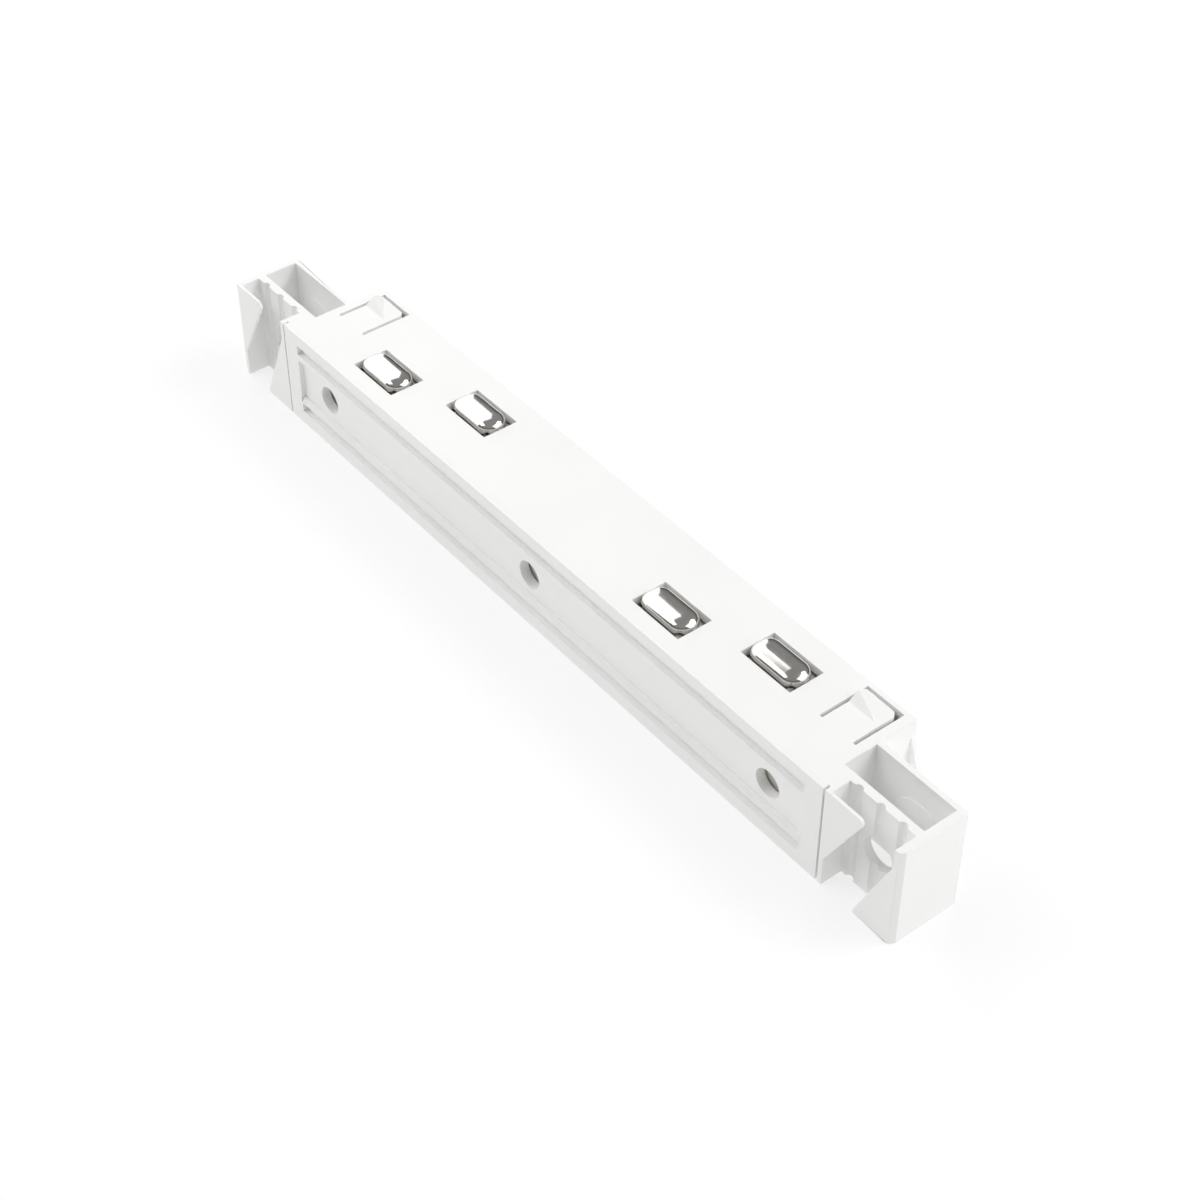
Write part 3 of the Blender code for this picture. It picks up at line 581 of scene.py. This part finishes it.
def cut_flutes(housing, centre_x, side):
    """Cuts the upright flutes with wide rods that only graze the wall."""
    radius = (FLUTE_WIDTH ** 2 / 4 + FLUTE_DEPTH ** 2) / (2 * FLUTE_DEPTH)
    y = MIDDLE_FRONT_Y + FLUTE_DEPTH - radius
    for index in (-1, 0, 1):
        x = centre_x - FLUTE_SHIFT * side + FLUTE_PITCH * index
        cut(housing, rod((x, y, MID_Z), 2 * radius, TOP_Z + OVER, "Z"))


def trim_bracket(housing, end, side):
    """Chamfers the front edge of the far plate and cuts the slit beside the body."""
    slope = CHAMFER_DEPTH / CHAMFER_WIDTH
    chamfer = [(end - (CHAMFER_WIDTH + OVER) * side, FRONT_Y - OVER * slope),
               (end + OVER * side, FRONT_Y - OVER * slope),
               (end + OVER * side, FRONT_Y + CHAMFER_DEPTH + OVER * slope)]
    tall = (-OVER, TOP_Z + OVER)
    cut(housing, prism(chamfer, "Z", *tall))
    slit = (HALF_LENGTH * side - SLIT_WIDTH / 2, HALF_LENGTH * side + SLIT_WIDTH / 2)
    cut(housing, box(slit, (FRONT_Y - OVER, FRONT_Y + SLIT_DEPTH), tall))


def add_bracket(housing, side):
    """Adds the bracket at the right end for side 1, or at the left end for side -1."""
    root = (END_X - END_WALL / 2) * side
    near = (HALF_LENGTH + BASE_PLATE) * side
    far = near + CHANNEL * side
    end = far + FAR_PLATE * side
    centre_x = (near + far) / 2
    middle_y = (MIDDLE_FRONT_Y + MIDDLE_REAR_Y) / 2
    add_walls(housing, root, near, far, end)
    add_fins(housing, *sorted((near, far)))
    cut_flutes(housing, centre_x, side)
    cut(housing, rod((centre_x, middle_y, MID_Z), ACCESS_HOLE, 2 * OVER, "Y"))
    join(housing, rod((centre_x, POCKET_REAR_Y, MID_Z), PAD_DIAMETER, 2 * PAD_HEIGHT, "Y"))
    trim_bracket(housing, end, side)


# %% [markdown]
# The front side
#
# The front is stepped to slide in its channel: a narrow groove, a rib, a wide channel whose
# lower side swells out in a round fairing, and a second groove. Three round holes let a
# driver reach the screws, whose heads are seated in bosses in the rear wall.

# %% Cut the relief and the screw stations
RELIEF_END_MARGIN = 4.0
RELIEF_TOP_MARGIN = 2.4
RELIEF_DEPTH = 0.8
GROOVE_DEPTH = 1.0
GROOVE_HEIGHT = 1.9
RIB_HEIGHT = 1.35
CHANNEL_HEIGHT = 8.0
FAIRING_LAND = 0.2
FAIRING_STEPS = 12
STATION_HOLE = 5.1
BOSS_DIAMETER = 7.5
BOSS_LENGTH = 3.0
HEAD_SEAT_DEPTH = 1.6
SHANK_BORE = 2.6
FRONT_STATION_END = 12.3
REAR_STATION_END = 12.1
RELIEF_END_X = HALF_LENGTH - RELIEF_END_MARGIN
FRONT_STATION_X = HALF_LENGTH - FRONT_STATION_END
REAR_STATION_X = HALF_LENGTH - REAR_STATION_END


def add_relief(housing):
    length = (-RELIEF_END_X, RELIEF_END_X)
    upper = TOP_Z - RELIEF_TOP_MARGIN
    channel_top = upper - GROOVE_HEIGHT - RIB_HEIGHT
    lower = channel_top - CHANNEL_HEIGHT - RIB_HEIGHT
    for top in (upper, lower):
        height = (top - GROOVE_HEIGHT, top)
        cut(housing, box(length, (FRONT_Y - OVER, FRONT_Y + GROOVE_DEPTH), height))
    outline = [(FRONT_Y - OVER, channel_top), (FRONT_Y + RELIEF_DEPTH, channel_top)]
    for step in range(FAIRING_STEPS + 1):
        angle = math.pi / 2 * step / FAIRING_STEPS
        outline.append((FRONT_Y + RELIEF_DEPTH * (1 - math.sin(angle)),
                        lower + FAIRING_LAND + (RIB_HEIGHT - FAIRING_LAND) * math.cos(angle)))
    outline.append((FRONT_Y - OVER, outline[-1][1]))
    cut(housing, prism(outline, "X", *length))


def add_stations(housing):
    boss_y = REAR_Y - (BOSS_LENGTH + REAR_WALL / 2) / 2
    for side in (-1, 0, 1):
        join(housing, rod((REAR_STATION_X * side, boss_y, MID_Z), BOSS_DIAMETER,
                          BOSS_LENGTH - REAR_WALL / 2, "Y"))
    for side in (-1, 0, 1):
        front = (FRONT_STATION_X * side, FRONT_Y, MID_Z)
        cut(housing, rod(front, STATION_HOLE, 2 * FRONT_WALL + OVER, "Y"))
        rear = (REAR_STATION_X * side, REAR_Y, MID_Z)
        cut(housing, rod(rear, STATION_HOLE, 2 * HEAD_SEAT_DEPTH, "Y"))
        cut(housing, rod(rear, SHANK_BORE, 2 * BOSS_LENGTH + OVER, "Y"))


# %% [markdown]
# The top
#
# Four windows let the contacts through. Near each end a slit on three sides frees a thin
# tongue. It carries a wedge whose steep heel snaps behind the track's edge, beside a very
# flat ramp, and it bends down when the wedge is pressed.

# %% Cut the windows and the tongues
WINDOW_LENGTH = 11.05
WINDOW_WIDTH = 6.7
TONGUE_END = 7.5
TONGUE_WIDTH = 6.5
TONGUE_LENGTH = 9.05
TONGUE_THICKNESS = 1.1
TONGUE_SLIT = 0.62
TONGUE_RELIEF = 0.5
TONGUE_CORNER = 0.8
WEDGE_RUN = 3.8
WEDGE_WIDTH = 5.6
WEDGE_PEAK = 1.9
WEDGE_HEIGHT = 1.35
WEDGE_HEEL = 0.15
TONGUE_CENTRE = HALF_LENGTH - TONGUE_END


def add_windows(housing):
    for number in range(1, 5):
        low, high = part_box(f"contact_{number}")
        x = (low[0] + high[0]) / 2 / MM
        y = (low[1] + high[1]) / 2 / MM
        cut(housing, box((x - WINDOW_LENGTH / 2, x + WINDOW_LENGTH / 2),
                         (y - WINDOW_WIDTH / 2, y + WINDOW_WIDTH / 2),
                         (TOP_UNDERSIDE - OVER, TOP_Z + OVER)))


def add_wedge(housing, left, right, free_end):
    """Adds the flat ramp over the tongue's free end, and the wedge on its left edge."""
    start = free_end - WEDGE_RUN
    buried = TOP_Z - TONGUE_THICKNESS / 2
    heel = (left, free_end, TOP_Z + WEDGE_HEEL)
    plan = [(left, start), (right, start), (right, free_end - TONGUE_CORNER),
            (right - TONGUE_CORNER, free_end), (left, free_end)]
    ramp = [(x, y, buried) for x, y in plan] + [(x, y, TOP_Z) for x, y in plan[:-1]] + [heel]
    join(housing, hull(ramp))
    near_end = (left + WEDGE_WIDTH, start)
    peak = (left, start + WEDGE_PEAK, TOP_Z + WEDGE_HEIGHT)
    wedge = [(left, start, TOP_Z), (*near_end, TOP_Z), peak, heel,
             (left, start, buried), (*near_end, buried), (left, free_end, buried)]
    join(housing, hull(wedge))


def add_tongue(housing, side):
    """Thins the top from below, cuts the slit that frees the tongue, and adds its wedge."""
    left = TONGUE_CENTRE * side - TONGUE_WIDTH / 2
    right = left + TONGUE_WIDTH
    free_end = INNER_REAR_Y - TONGUE_SLIT
    root = free_end - TONGUE_LENGTH
    inner = (TONGUE_CENTRE - TONGUE_WIDTH / 2 - TONGUE_SLIT - TONGUE_RELIEF) * side
    cut(housing, box((inner, INNER_X * side), (root - TONGUE_RELIEF, INNER_REAR_Y),
                     (TOP_UNDERSIDE - OVER, TOP_Z - TONGUE_THICKNESS)))
    slit = [(left - TONGUE_SLIT, root), (left, root), (left, free_end),
            (right - TONGUE_CORNER, free_end), (right, free_end - TONGUE_CORNER), (right, root),
            (right + TONGUE_SLIT, root), (right + TONGUE_SLIT, INNER_REAR_Y),
            (left - TONGUE_SLIT, INNER_REAR_Y)]
    cut(housing, prism(slit, "Z", TOP_UNDERSIDE - OVER, TOP_Z + OVER))
    add_wedge(housing, left, right, free_end)


# %% [markdown]
# Putting the housing together
#
# The forms are made in order: the shell, the brackets with the rear wall's corners, the
# screw stations, the front, the top. The housing's edges have a radius of less than a tenth
# of a millimetre, which is as much as the fine slits leave room for. The cover keeps the
# form of its solid, with softer edges.

# %% Build the housing and dress the cover
HOUSING_EDGE_MM = 0.08
COVER_EDGE_MM = 0.2


def add_rear_corner(housing, side):
    """Adds the end of the rear wall, which slopes down past the body's end."""
    end = END_X * side
    outer = HALF_LENGTH * side
    inner = (END_X - REAR_WALL) * side
    start = TOP_Z - REAR_CORNER_START
    outline = [(end, start), (outer, TOP_Z - REAR_CORNER_DROP), (outer, 0.0), (inner, 0.0), (inner, start)]
    join(housing, prism(outline, "Y", INNER_REAR_Y, REAR_Y))


def bake(housing):
    """Turns the steps into one mesh in metres and removes the tools."""
    bpy.context.view_layer.update()
    graph = bpy.context.evaluated_depsgraph_get()
    mesh = bpy.data.meshes.new_from_object(housing.evaluated_get(graph))
    housing.modifiers.clear()
    housing.data = mesh
    mesh.transform(TO_METRES)
    for tool in tools:
        bpy.data.objects.remove(tool, do_unlink=True)
    tools.clear()


def build_housing():
    housing = box((-END_X, END_X), (FRONT_Y, REAR_Y), (0.0, TOP_Z))
    tools.remove(housing)
    housing.name = "housing_moulding"
    cut(housing, box((-INNER_X, INNER_X), (INNER_FRONT_Y, INNER_REAR_Y), (-OVER, TOP_UNDERSIDE)))
    for side in (-1, 1):
        add_bracket(housing, side)
        add_rear_corner(housing, side)
    add_stations(housing)
    add_relief(housing)
    add_windows(housing)
    for side in (-1, 1):
        add_tongue(housing, side)
    bake(housing)
    return housing


housing = build_housing()
round_edges(housing, HOUSING_EDGE_MM)
finish_piece(housing, "housing", white_plastic, "body")
cover = dress("base_cover", "cover_moulding", white_plastic, "body", COVER_EDGE_MM)
print("housing faces", len(housing.data.polygons), "cover faces", len(cover.data.polygons))

# %% [markdown]
# The contacts
#
# A contact is a pill: a straight-sided stem with round ends, a fine rim where the cap
# meets the stem, and a full dome that the track's conductor slides over. The left end of
# the cap is a little squarer than the right one. The reflections on the dome show every
# facet, so the contact is lofted here from many rings. Its place, its height and the size
# of its flange come from its solid.

# %% Loft the contacts
RING_POINTS = 96
DOME_RINGS = 20
DOME_MM = 1.4
STEM_LENGTH_MM = 10.4
STEM_WIDTH_MM = 5.4
RIM_STEP_MM = 0.04
RIM_ROUND_MM = 0.1
RIM_MIDDLE = 0.3  # how far the middle of the rim's round is set in, as a share of its radius
CREST = 0.02  # the last ring's size as a share of the dome's
BLUNT = 0.7  # under 1 squares the left end off a little
STRETCH_MM = 0.2
FULLNESS = 0.85  # under 1 fills the shoulders of the dome
FLANGE_TOP_MM = 1.65
FLANGE_MM = 1.3
SPIGOT_MM = 1.6
SPIGOT_WIDTH_MM = 2.3


def pill_ring(shape, straight, radius, z):
    """A closed ring of points: two rounded halves joined by straight runs."""
    points = []
    for step in range(RING_POINTS):
        # Half a step more, so that no point lies on the seam between the halves.
        angle = 2 * math.pi * (step + 0.5) / RING_POINTS
        along, across = math.cos(angle), math.sin(angle)
        if along < 0 and straight > 0:
            along = -abs(along) ** BLUNT
            across = math.copysign(abs(across) ** BLUNT, across)
            centre = -straight - STRETCH_MM
        else:
            centre = math.copysign(straight, along)
        points.append(shape.verts.new((centre + radius * along, radius * across, z)))
    return points


def contact_rings(size):
    """Straight half-length, radius and height of each ring, in millimetres from the rim."""
    flange_straight = (size.x - size.y) / 2
    flange = size.y / 2
    stem_straight = (STEM_LENGTH_MM - STEM_WIDTH_MM) / 2
    stem = STEM_WIDTH_MM / 2
    spigot = SPIGOT_WIDTH_MM / 2
    dome = stem - RIM_STEP_MM
    foot = -FLANGE_TOP_MM - FLANGE_MM
    rings = [
        (0.0, spigot, foot - SPIGOT_MM),
        (0.0, spigot, foot),
        (flange_straight, flange, foot),
        (flange_straight, flange, -FLANGE_TOP_MM),
        (stem_straight, stem, -FLANGE_TOP_MM),
        (stem_straight, stem, -RIM_ROUND_MM),
        (stem_straight, stem - RIM_ROUND_MM * RIM_MIDDLE, -RIM_ROUND_MM * RIM_MIDDLE),
        (stem_straight, stem - RIM_ROUND_MM, 0.0),
    ]
    for step in range(DOME_RINGS):
        angle = math.pi / 2 * step / DOME_RINGS
        rings.append((stem_straight, dome * math.cos(angle) ** FULLNESS,
                      DOME_MM * math.sin(angle) ** FULLNESS))
    rings.append((stem_straight, dome * CREST, DOME_MM))
    return rings


def loft_contact(number):
    node = f"contact_{number}"
    low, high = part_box(node)
    low, high = Vector(low) / MM, Vector(high) / MM
    rim = Vector(((low.x + high.x) / 2, (low.y + high.y) / 2, high.z - DOME_MM))
    shape = bmesh.new()
    rings = [pill_ring(shape, *ring) for ring in contact_rings(high - low)]
    for lower, upper in zip(rings, rings[1:]):
        for index in range(RING_POINTS):
            after = (index + 1) % RING_POINTS
            shape.faces.new((lower[index], lower[after], upper[after], upper[index]))
    shape.faces.new(rings[0][::-1])
    shape.faces.new(rings[-1])
    bmesh.ops.transform(shape, matrix=Matrix.Translation(rim), verts=shape.verts)
    bmesh.ops.transform(shape, matrix=TO_METRES, verts=shape.verts)
    bmesh.ops.recalc_face_normals(shape, faces=shape.faces)
    mesh = bpy.data.meshes.new(f"contact_cap_{number}")
    shape.to_mesh(mesh)
    shape.free()
    mesh.materials.append(nickel)
    mesh.shade_smooth()
    mesh.set_sharp_from_angle(angle=CREASE_ANGLE)
    piece = bpy.data.objects.new(mesh.name, mesh)
    bpy.context.scene.collection.objects.link(piece)
    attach(piece, f"contact_body_{number}")
    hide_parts(node)
    return piece


contacts = [loft_contact(number) for number in range(1, 5)]
print("contacts", len(contacts), "with", len(contacts[0].data.vertices), "points each")

# %% [markdown]
# The screws
#
# The rear and the underside show small screw heads with a cross recess. Their edges are
# rolled, so they get a finer bevel than the mouldings.

# %% Dress the screws
SCREW_EDGE_MM = 0.07
SCREW_EDGE_SEGMENTS = 2

for number in range(1, 4):
    dress(f"side_screw_{number}", f"rear_screw_{number}", zinc, "body",
          SCREW_EDGE_MM, SCREW_EDGE_SEGMENTS)
for number in range(1, 5):
    dress(f"cover_screw_{number}", f"underside_screw_{number}", zinc, "body",
          SCREW_EDGE_MM, SCREW_EDGE_SEGMENTS)
print("screws dressed")

# %% [markdown]
# The inner pieces
#
# The carrier, the busbars and the springs are only glimpsed through the windows and the
# slits, so the forms of their solids are good enough. The carrier and the busbars keep
# their meshes and get their finishes. Each spring becomes a copy of its solid with a mesh
# of its own.


def refinish(node, material):
    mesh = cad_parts[node].data
    mesh.materials.clear()
    mesh.materials.append(material)


def fit_spring(number):
    node = f"contact_spring_{number}"
    spring = copy_of(node, f"coil_{number}")
    spring.data.shade_smooth()
    spring.data.materials.clear()
    spring.data.materials.append(wire)
    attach(spring, "body")
    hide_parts(node)
    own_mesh(spring)


refinish("contact_carrier", nylon)
for name in ("busbar_front", "busbar_rear"):
    refinish(name, brass)
for number in range(1, 5):
    fit_spring(number)
print("inner pieces finished")

# %% [markdown]
# Floor and light
#
# The photograph was taken on a white ground with next to no shadow. A light table does
# this: its own glow fills the shadow and lights the front side from below. A dim sky gives
# the grey that the rear halves of the contacts mirror. A large softbox at the left gives
# the contacts their white band, one at the right lights the end plate, and two small
# ones fill the pockets and the top face. Behind it all stands a plain white backdrop,
# which only the camera sees.

# %% Floor
FLOOR_HALF = 3.0
FLOOR_GLOW = 0.68
WHITE = linear("#FFFFFF")


def add_floor():
    shape = bmesh.new()
    bmesh.ops.create_grid(shape, x_segments=1, y_segments=1, size=FLOOR_HALF)
    mesh = bpy.data.meshes.new("floor")
    shape.to_mesh(mesh)
    shape.free()
    material, _, shader = new_material("light_table", "#989898", roughness=0.8)
    shader.inputs["Emission Color"].default_value = WHITE
    shader.inputs["Emission Strength"].default_value = FLOOR_GLOW
    mesh.materials.append(material)
    floor = bpy.data.objects.new("floor", mesh)
    bpy.context.scene.collection.objects.link(floor)


add_floor()
print("floor", 2 * FLOOR_HALF, "m wide")

# %% Light
SKY_STRENGTH = 0.27
SKY_LOW = 0.0
SKY_FULL_FROM = 0.5  # the height on the sky's unit sphere where it reaches its full strength


def add_sky():
    """A white sky that lights less near the horizon, behind a plain white backdrop."""
    world = bpy.data.worlds.new("studio")
    world.use_nodes = True
    tree = world.node_tree
    place = add_node(tree, "ShaderNodeTexCoord")
    parts = add_node(tree, "ShaderNodeSeparateXYZ", links={"Vector": place.outputs["Generated"]})
    height = add_node(tree, "ShaderNodeMapRange",
                      inputs={"From Min": 0.0, "From Max": SKY_FULL_FROM, "To Min": SKY_LOW, "To Max": 1.0},
                      links={"Value": parts.outputs["Z"]})
    strength = add_node(tree, "ShaderNodeMath", settings={"operation": "MULTIPLY"},
                        inputs={1: SKY_STRENGTH}, links={0: height.outputs["Result"]})
    background = tree.nodes["Background"]
    background.inputs["Color"].default_value = WHITE
    tree.links.new(strength.outputs["Value"], background.inputs["Strength"])
    backdrop = add_node(tree, "ShaderNodeBackground", inputs={"Color": WHITE})
    seen = add_node(tree, "ShaderNodeLightPath")
    both = add_node(tree, "ShaderNodeMixShader",
                    links={0: seen.outputs["Is Camera Ray"], 1: background.outputs["Background"],
                           2: backdrop.outputs["Background"]})
    tree.links.new(both.outputs["Shader"], tree.nodes["World Output"].inputs["Surface"])
    bpy.context.scene.world = world


def add_softbox(name, place, width, height, power, target=(0.0, 0.0, 0.01)):
    """A soft light that faces its target, with its size in metres and its power in watts."""
    lamp = bpy.data.lights.new(name, "AREA")
    lamp.shape = "RECTANGLE"
    lamp.size = width
    lamp.size_y = height
    lamp.energy = power
    holder = bpy.data.objects.new(name, lamp)
    bpy.context.scene.collection.objects.link(holder)
    direction = Vector(target) - Vector(place)
    holder.location = place
    holder.rotation_euler = direction.to_track_quat("-Z", "Y").to_euler()


add_sky()
add_softbox("left_softbox", place=(-0.95, -0.3, 0.87), width=2.1, height=1.65, power=15.0,
            target=(0.0, -0.3, 0.87))
add_softbox("front_softbox", place=(-0.45, -0.7, 1.05), width=0.8, height=0.6, power=3.0)
add_softbox("right_softbox", place=(1.0, 0.66, 0.8), width=1.6, height=1.5, power=11.0)
add_softbox("rear_softbox", place=(0.45, 0.75, 1.0), width=0.7, height=0.5, power=4.1)
bpy.context.scene.view_settings.view_transform = "Standard"
bpy.context.scene.view_settings.look = "None"
print("lights", [item.name for item in bpy.data.lights])
